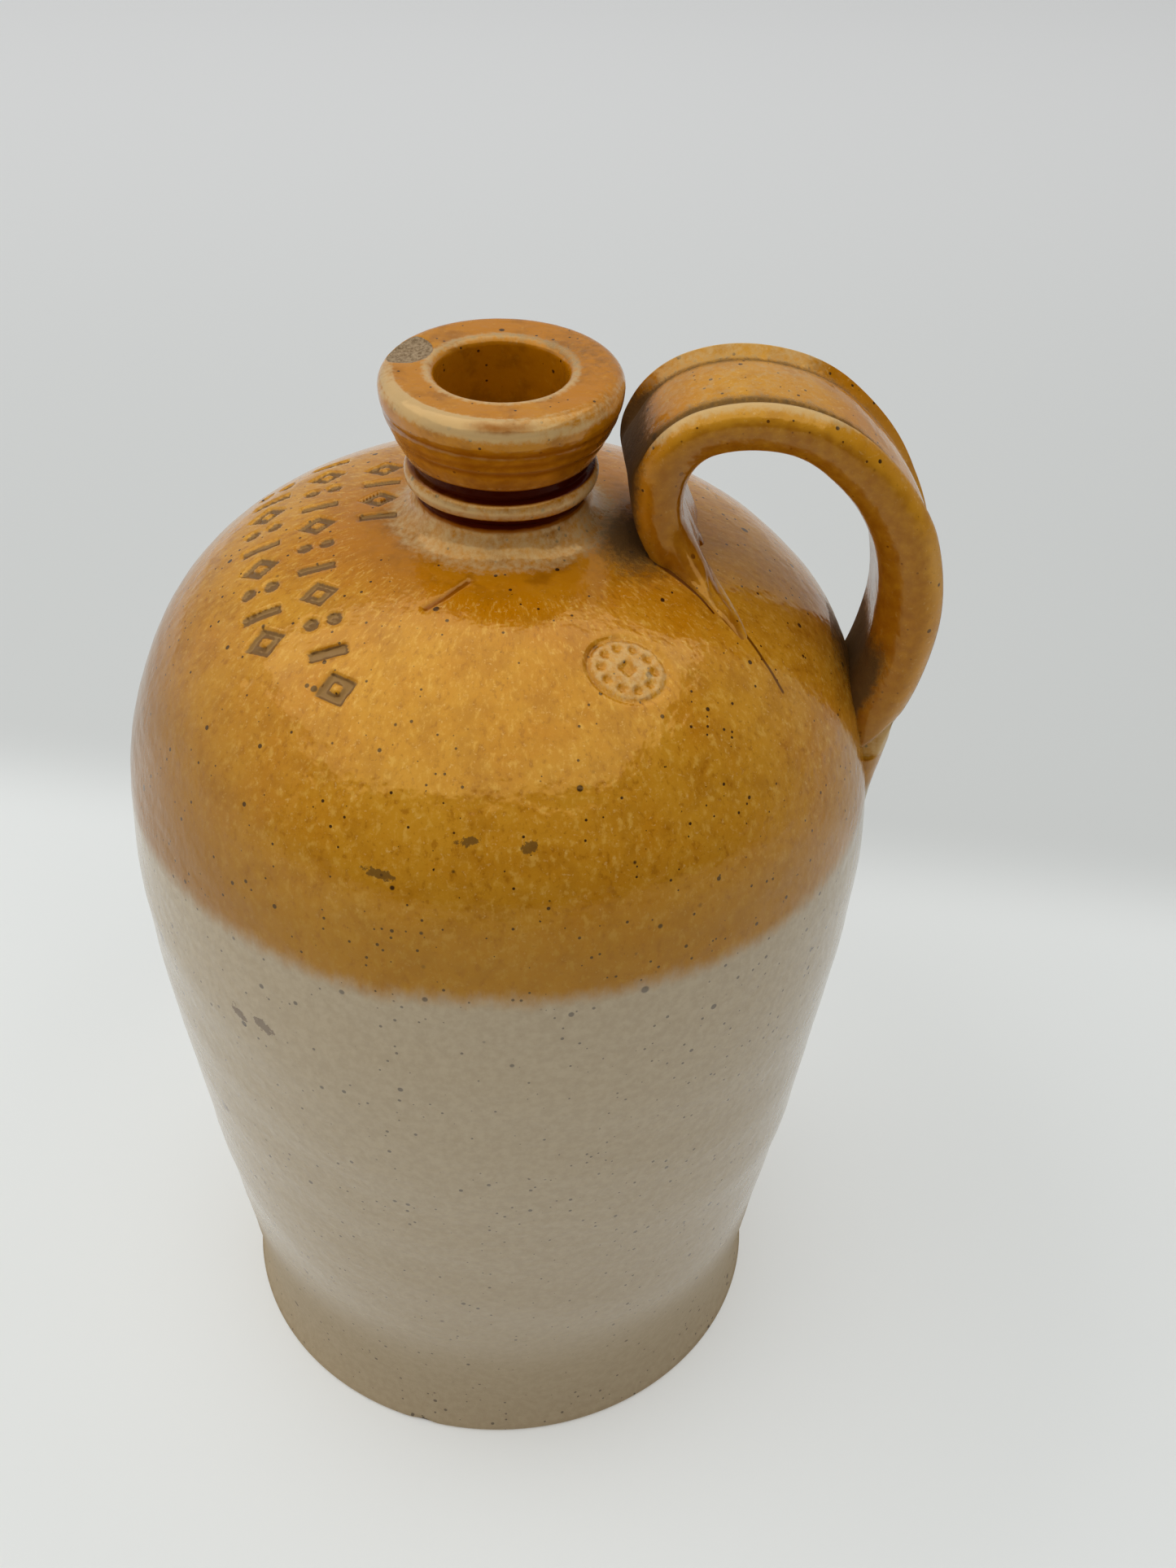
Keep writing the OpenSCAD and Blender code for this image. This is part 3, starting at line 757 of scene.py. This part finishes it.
def neck_outline():
    """Closed outline of the neck's clay: up the outside over the bead and the conical lip, across the
    top, down the bore and back inside the body's clay."""
    bead_r = NECK_R + BEAD_OUT - BEAD_T
    bead_gap = BEAD_T + 0.15
    low = np.array([LIP_LOW_R, LIP_Z + LIP_FOOT_R])
    high = np.array([LIP_R, TOP_Z - LIP_EDGE_R])
    lift = (high[1] - low[1]) / 3
    t = np.linspace(0, 1, 120)[1:]
    outer = np.concatenate([
        [[NECK_R - 2.4, NECK_SEAM_Z - 4], [NECK_R - 0.3, NECK_SEAM_Z - 1.5]],
        [[NECK_R, NECK_SEAM_Z], [NECK_R, BEAD_Z - bead_gap]],
        arc((bead_r, BEAD_Z), BEAD_T, -80, 80, 40),
        [[NECK_R, BEAD_Z + bead_gap], [NECK_R, LIP_Z - 0.4]],
        arc((LIP_LOW_R - LIP_FOOT_R, LIP_Z + LIP_FOOT_R), LIP_FOOT_R, -85, 0, 10),
        cubic(low, low + ((LIP_R - LIP_LOW_R) / 2, lift), high - (0, lift), high, t),
        arc((LIP_R - LIP_EDGE_R, TOP_Z - LIP_EDGE_R), LIP_EDGE_R, 2, 90, 30),
        [[BORE_R + BORE_EDGE_R + 0.4, TOP_Z]],
        arc((BORE_R + BORE_EDGE_R, TOP_Z - BORE_EDGE_R), BORE_EDGE_R, 92, 180, 16),
    ])
    bore = [[BORE_R, TOP_Z - below] for below in (5, 12, 22, 34)]
    back = [[BORE_R, 259.3], [BORE_R + 0.8, 258.7], [BORE_R + 2.2, 259.6], [BORE_R + 2.4, 264.0]]
    return np.concatenate([resample(outer, lambda p: 0.42), bore, back])


LIP_RINGS = (  # depth, height and waves round the lip of the throwing rings on its side
    (0.20, LIP_Z + 5.6, 1),
    (0.12, LIP_Z + 8.2, 2),
    (0.17, LIP_Z + 11.0, 1),
)


def bite_lip(points, r, rough):
    """Lowers the points inside a ball that bites into the lip's upper edge to the ball's rough floor.
    Returns how far each was above that floor, in millimetres."""
    bite_r = (CHIP_R**2 + CHIP_DEPTH**2) / (2 * CHIP_DEPTH)
    edge_r = LIP_R - LIP_EDGE_R
    middle_x, middle_y, middle_z = edge_r * cos(CHIP_AT), edge_r * sin(CHIP_AT), TOP_Z + bite_r - CHIP_DEPTH
    flat = np.hypot(points[..., 0] - middle_x, points[..., 1] - middle_y)
    floor = middle_z - np.sqrt(np.maximum(bite_r**2 - flat**2, 0))
    bitten = (flat < bite_r) & (points[..., 2] > floor) & (r > BORE_R + 1)
    depth = np.where(bitten, points[..., 2] - floor, 0)
    points[..., 2] -= np.where(bitten, depth - rough * rise(depth, 0, 0.5), 0)
    return depth


def make_neck(material):
    """Neck, bead and conical lip: the outline turned about the axis, with throwing rings on the lip's
    side, a worn rim and a broken chip on the lip's upper edge."""
    outline = neck_outline()
    a = np.linspace(-180, 180, 361)[None, :-1]
    r, z = outline[:, :1] + 0 * a, outline[:, 1:] + 0 * a
    along = np.concatenate([[0], np.cumsum(np.hypot(*np.diff(outline, axis=0).T))])[:, None]
    side = (r > 20.6) & (z > LIP_Z - 0.5)
    uneven = 0.12 * swell(a, along, 11, finest=4) * (r > BORE_R + 0.5)
    rings = 0
    for deep, height, waves in LIP_RINGS:
        rings = rings + deep * hump(z + 0.5 * sin(a * waves + 40), height, 0.75)
    points = turned(outline, a, uneven - np.where(side & (r > 22), rings, 0))
    depth = bite_lip(points, r, 0.22 * swell(a * 9, along * 7, 5))

    # where the glaze pools
    seam = hump(z, NECK_SEAM_Z, 2.0) * (r < 24)
    under_lip = rise(z, BEAD_Z + 1.6, BEAD_Z + 2.4) * (1 - rise(z, LIP_Z + 0.2, LIP_Z + 0.9))
    under_lip = under_lip * (r < 24) * (r > NECK_R - 1)
    in_rings = np.where(side & (z < TOP_Z - 6), 0.30 + 1.0 * rings, 0) * (r > 21)
    in_bore = r < BORE_R + 0.3
    rust = hump(a, -88, 22) * hump(z, TOP_Z - 1.0, 1.3) * (r > 25)

    # where it is worn thin
    front_left = 0.5 + 0.5 * cos(a + 125)
    patchy = 0.5 * swell(a, along, 21, finest=3)
    lip_edge = hump(z, TOP_Z - 2.4 + 0.5 * sin(2 * a), 2.0) * (r > 24.5)
    lip_edge = lip_edge * (0.62 + 0.38 * front_left + 0.25 * patchy)
    rim_top = hump(r, LIP_R - 2.6, 2.6) * (z > TOP_Z - 1.5) * front_left
    bore_edge = hump(r, BORE_R + 1.8, 1.7) * (z > TOP_Z - 3)
    bead = hump(z, BEAD_Z + 0.1, 2.6) * (r > NECK_R + 0.4) * (r < 24) * (1 - 0.3 * patchy)
    lip_foot = hump(z, LIP_Z + 1.2, 1.0) * (r > 21.5)

    # where it is dirty
    rim_right = np.where(z > TOP_Z - 0.6, hump((a - 25 + 180) % 360 - 180, 0, 55), 0)
    neck_right = hump(a, 10, 40) * (z < LIP_Z)
    bore_back = bore_edge * (0.5 + 0.5 * cos(a - 130))
    marks = {
        "pool_and_shade": (1.0 + 0.3 * cos(a)) * under_lip + 0.95 * seam + in_rings + 0.10 * in_bore + 0.42 * rust,
        "thin_and_highlight": 0.74 * lip_edge + 0.60 * bore_edge + 0.66 * bead + 0.5 * rim_top + 0.35 * lip_foot,
        "grime": 0.36 * rim_right + 0.5 * neck_right + 0.30 * bore_back + 0.14 * in_bore,
        "bare": 1.1 * rise(depth, 0.03, 0.2),
        "off_wall": 1.0,
    }
    return solid("neck_and_lip", points, material, marks)


# strap handle

def arc_end(p, a, b, r):
    """End of an arc of radius r that starts at p and turns right from heading a to heading b."""
    return np.array([p[0] + r * (sin(a) - sin(b)), p[1] + r * (cos(b) - cos(a))])


def strap_twist(heading):
    """Twist at a heading, in degrees: the far side bead leans outwards where it is above 0."""
    half_way = (DROP_HEADING + FOOT_HEADING) / 2
    at = (WALL_HEADING, half_way, CROWN_HEADING, 90.0, ROOT_HEADING)
    return np.interp(heading, at, (WALL_TWIST, DROP_TWIST, CROWN_TWIST, CURL_TWIST, 0.0))


def strap_half_t(heading):
    """Half thickness at a heading: thinner at the root, thicker in the drop."""
    to_root = rise(heading, (CROWN_HEADING + ROOT_HEADING) / 2, ROOT_HEADING)
    to_wall = rise(-heading, -(CROWN_HEADING + DROP_HEADING) / 2, -FOOT_HEADING)
    return HALF_T + (ROOT_T / 2 - HALF_T) * to_root + (DROP_T / 2 - HALF_T) * to_wall


def groove_share(heading):
    """Share of the strap's grooves at a heading: they fade out down the curl beside the neck."""
    return 1 - rise(heading, 66, 96)


def strap_path():
    """Middle line of the strap with its sizes: a row of (x, z, heading, half width, half thickness,
    groove share, twist, share that follows the wall's curve) about every 0.8 mm. It rises straight from
    the shoulder, runs through arcs that all turn right, and ends in a smear on the wall."""
    curl_x = NECK_R + BEAD_OUT + CURL_GAP + HALF_T
    reach_x = BELLY_R + REACH_OUT
    crown_z = TOP_Z + CROWN_RISE - HALF_T
    spread = reach_x - curl_x - CURL_R * (1 - sin(CROWN_HEADING)) - DROP_R * (1 + sin(DROP_HEADING))
    crown_r = spread / (sin(CROWN_HEADING) - sin(DROP_HEADING))
    curl_z = crown_z - crown_r * (1 - cos(CROWN_HEADING)) - CURL_R * cos(CROWN_HEADING)
    root_start = np.array([curl_x, curl_z]) - ROOT_R * np.array([sin(ROOT_HEADING) - 1, -cos(ROOT_HEADING)])

    t = np.linspace(0, 1, 65)
    one, none = 1 + 0 * t, 0 * t
    back = (ROOT_RUN + ROOT_SUNK) * (1 - t)
    root = root_start - back[:, None] * np.array([cos(ROOT_HEADING), sin(ROOT_HEADING)])
    sizes = (STRAP_W / 2 * one, ROOT_T / 2 * one, none, none, none)
    parts = [np.column_stack([root, ROOT_HEADING * one, *sizes])]

    arcs = (
        (ROOT_HEADING, 90.0, ROOT_R),
        (90.0, CROWN_HEADING, CURL_R),
        (CROWN_HEADING, DROP_HEADING, crown_r),
        (DROP_HEADING, FOOT_HEADING, DROP_R),
        (FOOT_HEADING, WALL_HEADING, FOOT_RUN_R),
    )
    place = root_start
    for a, b, radius in arcs:
        h = np.linspace(a, b, int(np.radians(a - b) * radius / 0.8) + 1)[1:]
        x, z = arc_end(place, a, h, radius)
        sizes = (STRAP_W / 2 + 0 * h, strap_half_t(h), groove_share(h), strap_twist(h), 0 * h)
        parts.append(np.column_stack([x, z, h, *sizes]))
        place = arc_end(place, a, b, radius)

    smear_z = place[1] - SMEAR_DROP
    smear_end = np.array([shoulder_radius(smear_z) - SINK, smear_z])
    reach = np.hypot(*(place - smear_end)) / 3
    onto_wall = reach * np.array([cos(WALL_HEADING), sin(WALL_HEADING)])
    t = np.linspace(0, 1, 56)
    smear = cubic(place, place + onto_wall, smear_end + (0, reach), smear_end, t)
    left = 1 - ease(2 * t)
    half_w, half_t = STRAP_W / 2 - SMEAR_TAPER * ease(t), DROP_T / 2 * (1 - 0.92 * ease(t))
    sizes = (half_w, half_t, left, WALL_TWIST * left, ease(t))
    parts.append(np.column_stack([smear, heading_of(smear), *sizes])[1:])
    return np.concatenate(parts)


def strap_sections(path):
    """Outline of the section at each station. Round side edges rise to the crests of two side beads,
    an eased slope falls from each to a groove, and a slightly crowned panel is sunk between them.
    Returns for each point its place across and outwards, its share of the groove, its angle round the
    side edge, and its share of the panel."""
    half_w, thick, groove = (path[:, k : k + 1] for k in (3, 4, 5))
    middle = half_w - thick
    crest_turn = np.degrees(np.arccos(np.clip((half_w - CREST_IN - middle) / thick, 0, 1)))
    crest_turn = 90 + groove * (crest_turn - 90)
    none = 0 * middle

    t = np.linspace(0, 1, 26)[None, :-1]
    under = (middle * t, -thick + 0 * t, 0 * t + none, -90 + 0 * t + none, 0 * t + none)
    t = np.linspace(0, 1, 36)[None, :]
    turn = -90 + (90 + crest_turn) * t
    edge = (middle + thick * cos(turn), thick * sin(turn), 0 * turn, turn, 0 * turn)
    t = np.linspace(0, 1, 24)[None, 1:]
    crest_x, crest_z = edge[0][:, -1:], edge[1][:, -1:]
    panel_x = np.minimum(GROOVE_AT - GROOVE_HALF_W, half_w - CREST_IN - 2 * GROOVE_HALF_W)
    panel_z = thick - PANEL_DEPTH * groove
    dip = groove * sin(180 * t)
    slope_x = crest_x + (panel_x - crest_x) * t
    slope_z = crest_z + (panel_z - crest_z) * ease(t) - GROOVE_DEPTH * dip
    slope = (slope_x, slope_z, dip**2, 90 + 0 * dip, groove * rise(t, 0.6, 1))
    t = np.linspace(1, 0, 14)[None, 1:]
    crowned = panel_z + PANEL_CROWN * groove * (1 - t * t)
    panel = (panel_x * t, crowned, 0 * t + none, 90 + 0 * t + none, groove + 0 * t)
    values = [np.concatenate([u + none, e, d, p], 1) for u, e, d, p in zip(under, edge, slope, panel)]
    values[0] = np.concatenate([values[0], -values[0][:, -2:0:-1]], 1)
    for k in range(1, 5):
        values[k] = np.concatenate([values[k], values[k][:, -2:0:-1]], 1)
    return values


def dragged_root(points):
    """Drags the strap's root out over the shoulder at its near inner corner, the more the nearer a point
    is to the shoulder. A point keeps its height above the shoulder, and how far it goes depends on its
    place across the drag, so the lobe is steep on its outer edge, longest in its middle and soft towards
    the hole. Returns the new points, the place of each along the lobe (0 to 1) and across it (in
    millimetres, towards the hole), and how low it lies (0 to 1)."""
    x, y, z = points[..., 0], np.abs(points[..., 1]), points[..., 2]
    high = z - shoulder_height(np.hypot(x, y))
    dx, dy = x - LOBE_X, y - LOBE_Y
    along = (dx * cos(LOBE_TURN) + dy * sin(LOBE_TURN)) / LOBE_L
    v = dx * sin(LOBE_TURN) - dy * cos(LOBE_TURN)
    reach = rise(v, -6.4, -1.8) * (1 - rise(v, -0.5, 8.5))
    nose = np.sqrt(1 - np.clip(high / 1.3, 0, 1) ** 2)
    low = 0.32 * nose + 0.68 * np.clip(1 - high / 12.0, 0, 1) ** 3
    near_side = rise(-points[..., 1], -2, 4)
    out = LOBE_L * np.maximum(reach - along, 0) * low * near_side
    new_x = x + out * cos(LOBE_TURN)
    new_y = y + out * sin(LOBE_TURN)
    t = along + out / LOBE_L

    # past a slanting edge, towards the hole, the lobe is pressed a little lower
    flat_from = 3.0 - 6.5 * rise(t, 0.15, 0.74)
    pressed = rise(v, flat_from - 0.4, flat_from + 0.5) * rise(t, 0.30, 0.45) * (1 - rise(t, 0.70, 0.76))
    pressed = pressed * (1 - rise(high, 2, 6))
    high = high - np.minimum(0.8, 0.5 * np.maximum(high, 0)) * pressed
    new_z = shoulder_height(np.hypot(new_x, new_y)) + high
    return np.stack([new_x, new_y * np.sign(points[..., 1]), new_z], -1), t, v, 1 - rise(high, 1.5, 5)


WIPED_X, WIPED_Z, WIPED_LEAN_X, WIPED_LEAN_Z = 90.7, 211.2, 0.738, 0.675  # crease: a point, its slant
WIPED_Y, WIPED_FLARE = 15.3, 0.075  # half width of the wiped foot at that point, and its gain going down


def wipe_foot(points, heading):
    """Cuts the strap's two sides flat below a slanting crease on its foot. Returns how far each point
    is past the crease, eased from 0 to 1."""
    past = (points[..., 0] - WIPED_X) * WIPED_LEAN_X - (points[..., 2] - WIPED_Z) * WIPED_LEAN_Z
    past = rise(past, 0, 1.3) * (heading < -88)
    wiped_y = WIPED_Y + WIPED_FLARE * (WIPED_Z - points[..., 2])
    cut = past * np.maximum(0, np.abs(points[..., 1]) - wiped_y)
    points[..., 1] -= np.sign(points[..., 1]) * cut
    return past


def make_strap(material):
    """The strap handle: its section swept along the middle line, with faint ridges along its sides,
    finger-worn unevenness, short dimples in its near groove, a wiped foot and a dragged root."""
    path = strap_path()
    across, out, in_groove, turn, on_panel = strap_sections(path)
    s = np.concatenate([[0], np.cumsum(np.hypot(*np.diff(path[:, :2], axis=0).T))])[:, None]
    x0, z0, heading, half_t, groove, twist, drape = (path[:, k : k + 1] for k in (0, 1, 2, 4, 5, 6, 7))
    free = rise(half_t, 2.5, ROOT_T / 2)
    ridges = 0.15 * np.sin(np.radians(turn * 5)) * (np.abs(turn) < 72) * free
    uneven = 0.20 * np.sin(s / 6.1 + across / 5 + 1) * np.sin(s / 9.7 - across / 8) * free
    near_ticks = rise(heading, -30, -5) * (1 - rise(heading, 40, 70))
    dimples = 0.22 * in_groove * (across < 0) * near_ticks * np.maximum(0, np.sin(s / 0.62 + across * 0.7))
    grow = 1 + (ridges + uneven) / (np.hypot(across, out) + 1e-6)
    across_u, out_u = across * grow, out * grow - dimples
    across_t = across_u * cos(twist) - out_u * sin(twist)
    out_t = across_u * sin(twist) + out_u * cos(twist)
    x = x0 - out_t * sin(heading)
    x = x - drape * (x - np.sqrt(np.maximum(x**2 - across_t**2, 1)))
    points = np.stack([x, across_t, z0 + out_t * cos(heading)], -1)
    wiped = wipe_foot(points, heading)
    dragged, lobe_t, lobe_v, low = dragged_root(points)
    at_root = heading > 88
    points = np.where(at_root[..., None], dragged, points)

    over = rise(turn, 20, 80)
    near_neck = rise(heading, 40, 78)
    foot = rise(-heading, 88, 106)
    crown = rise(heading, -38, -20) * (1 - rise(heading, 50, 75))
    crease = hump(wiped, 0.5, 0.4) * (np.abs(across) > 12) * over
    flat = wiped * (np.abs(across) > 8)
    crest = at_root * low * hump(lobe_v, 7.0 * np.clip(1 - lobe_t, 0, 1), 1.1) * rise(lobe_t, 0.25, 0.45)
    lobe_end = at_root * low * (lobe_v < 0) * rise(lobe_t, 0.35, 0.6) * (1 - rise(lobe_t, 0.70, 0.76))

    # grime lies in the grooves, beside the neck, on the panel and under the foot
    groove_dirt = hump(np.abs(across), GROOVE_AT - 0.6, 2.2) * over * free * groove * (0.8 + 0.2 * near_neck)
    neck_dirt = near_neck * over * (1 - rise(heading, 105, 112))
    foot_dirt = foot * (1 - rise(turn, -50, 0)) * free * (1 - flat)

    # the glaze is thin on the side beads, the crown and the foot, and the crown's paleness is also a painted
    # highlight; the sides are darkened with painted shade in the colour of pooled glaze
    # painted highlight together with thin glaze on the crown's top and its beads; thin glaze on the foot's
    # top
    bead_thin_and_highlight = (0.30 + 0.22 * crown) * hump(turn, 60, 24) * free * (1 - near_neck)
    top_thin_and_highlight = 0.24 * crown * over + 0.25 * foot * over * free
    # painted shade: the strap's sides are darkened in the colour of pooled glaze
    side_shade = (0.27 * (1 - rise(turn, 10, 48)) + 0.08) * free * (1 - flat)
    marks = {
        "grime": groove_dirt + 0.85 * neck_dirt + 0.16 * on_panel + 1.25 * foot_dirt,
        "thin_and_highlight": bead_thin_and_highlight + top_thin_and_highlight + 0.5 * crest + 0.3 * lobe_end + 0.5 * crease + 0.42 * flat,
        "pool_and_shade": side_shade * (1 - crest) * (1 - lobe_end) * (1 - 0.8 * crown * over),
        "off_wall": 1.0,
        "dull": 0.6 * wiped,
    }
    return solid("strap_handle", points, material, marks, points[0].mean(0), points[-1].mean(0))


# floor, light and camera

FLOOR_HALF_W = 6.0  # in metres
FLOOR_NEAR = (0.76, 0.78, 0.765, 1)
# the far sheet colour is paler as painted light
SHEET_NEAR, SHEET_FAR_LIT = (0.62, 0.635, 0.62, 1), (0.86, 0.865, 0.86, 1)


def make_floor():
    """A wide pale floor. Behind the jar it turns a little greyer, as a sheet of backdrop does, and further
    back it is paler, painted light that makes up for the light falling off. It also glows faintly all over
    as painted light that lightens shadows: a little more round the foot, where the jar's shadow lies, and
    more towards the back."""
    mesh = bpy.data.meshes.new("floor")
    corners = [(sx * FLOOR_HALF_W, sy * FLOOR_HALF_W, 0) for sx, sy in ((-1, -1), (1, -1), (1, 1), (-1, 1))]
    mesh.from_pydata(corners, [], [(0, 1, 2, 3)])
    g = Recipe("pale_floor")
    x, y, _ = g.split(g.place())
    back = g.ramp(g.math("MULTIPLY_ADD", x, 0.14, y), 165.0, 235.0)
    # painted light: the sheet is paler further back to make up for the light falling off
    sheet = g.blend(g.ramp(y, 200.0, 1400.0), SHEET_NEAR, SHEET_FAR_LIT)
    g.put(g.shader.inputs["Base Color"], g.blend(back, FLOOR_NEAR, sheet))
    # painted light: the floor glows faintly, more round the foot where it lightens the jar's shadow, and
    # towards the back
    foot_shadow_glow = g.ramp(g.vector("LENGTH", g.join(x, y, 0.0)), 78.0, 190.0, 0.09, 0.0)
    fill_glow = g.math("ADD", g.ramp(y, 150.0, 1300.0, 0.0, 0.07), g.ramp(back, 0.0, 1.0, 0.11, 0.07))
    g.shader.inputs["Emission Color"].default_value = (1.0, 1.0, 0.99, 1)
    g.put(g.shader.inputs["Emission Strength"], g.math("ADD", fill_glow, foot_shadow_glow))
    g.shader.inputs["Roughness"].default_value = 0.6
    mesh.materials.append(g.material)
    floor = bpy.data.objects.new("floor", mesh)
    bpy.context.scene.collection.objects.link(floor)


def area_light(name, place, aim, width, height, radiance, colour=(1, 1, 1)):
    """Rectangular soft light in metres at place, facing aim. radiance is how bright its face is, where
    1 is white."""
    data = bpy.data.lights.new(name, "AREA")
    data.shape = "RECTANGLE"
    data.size, data.size_y = width, height
    data.energy = radiance * math.pi * width * height
    data.color = colour
    light = bpy.data.objects.new(name, data)
    back = np.array(place, float) - np.array(aim, float)
    back /= np.linalg.norm(back)
    side = np.cross((0, 1, 0), back)
    side /= np.linalg.norm(side)
    up = np.cross(back, side)
    rows = np.column_stack([side, up, back, place])
    light.matrix_world = Matrix([tuple(row) for row in rows] + [(0, 0, 0, 1)])
    light.visible_camera = False
    bpy.context.scene.collection.objects.link(light)


ROOM_DARK_SIDE = (0.28, -0.94, 0.20)
ROOM_BRIGHT, ROOM_DARK = 0.46, 0.07


def make_lights():
    """A large softbox overhead, a pale wall of light on the left, and a room that is dark in front and a
    little to the right."""
    area_light("softbox", (-0.38, -0.34, 1.6), (-0.38, -0.34, 0.0), 3.24, 2.28, 1.3)
    area_light("left_wall", (-2.0, 0.2, 0.75), (0.0, 0.2, 0.55), 1.5, 2.4, 0.25)
    world = bpy.data.worlds.new("room")
    bpy.context.scene.world = world
    world.use_nodes = True
    tree = world.node_tree
    background = tree.nodes["Background"]
    coordinates = tree.nodes.new("ShaderNodeTexCoord")
    front = tree.nodes.new("ShaderNodeVectorMath")
    front.operation = "DOT_PRODUCT"
    front.inputs[1].default_value = ROOM_DARK_SIDE
    tree.links.new(coordinates.outputs["Generated"], front.inputs[0])
    ramp = tree.nodes.new("ShaderNodeMapRange")
    ramp.interpolation_type = "SMOOTHSTEP"
    for socket, value in zip(list(ramp.inputs)[1:5], (-0.2, 0.65, ROOM_BRIGHT, ROOM_DARK)):
        socket.default_value = value
    tree.links.new(front.outputs["Value"], ramp.inputs[0])
    tree.links.new(ramp.outputs[0], background.inputs["Strength"])
    background.inputs["Color"].default_value = (0.97, 0.99, 1.0, 1)


CAMERA_PLACE = np.array([13.66, -385.46, 493.50])
CAMERA_DOWN, CAMERA_TURN, CAMERA_ROLL = 0.678, 0.0236, 0.036  # radians
FOCAL_PIXELS = 2299.0
PHOTO_LONG_SIDE = 1927.0


def make_camera():
    """The camera found from the jar's outlines in the photograph."""
    down, turn, roll = CAMERA_DOWN, CAMERA_TURN, CAMERA_ROLL
    forward = np.array([math.sin(turn) * math.cos(down), math.cos(turn) * math.cos(down), -math.sin(down)])
    level = np.array([math.cos(turn), -math.sin(turn), 0.0])
    upward = np.cross(level, forward)
    right = math.cos(roll) * level + math.sin(roll) * upward
    up = -math.sin(roll) * level + math.cos(roll) * upward
    data = bpy.data.cameras.new("camera")
    data.sensor_width = 36.0
    data.lens = FOCAL_PIXELS / PHOTO_LONG_SIDE * data.sensor_width
    data.clip_start, data.clip_end = 0.01, 50.0
    camera = bpy.data.objects.new("camera", data)
    rows = np.column_stack([right, up, -forward, CAMERA_PLACE * MM])
    camera.matrix_world = Matrix([tuple(row) for row in rows] + [(0, 0, 0, 1)])
    bpy.context.scene.collection.objects.link(camera)
    bpy.context.scene.camera = camera


# the scene

bpy.context.scene.view_settings.view_transform = "Standard"
stoneware = glaze()
make_body(stoneware)
make_neck(stoneware)
make_strap(stoneware)
make_floor()
make_lights()
make_camera()
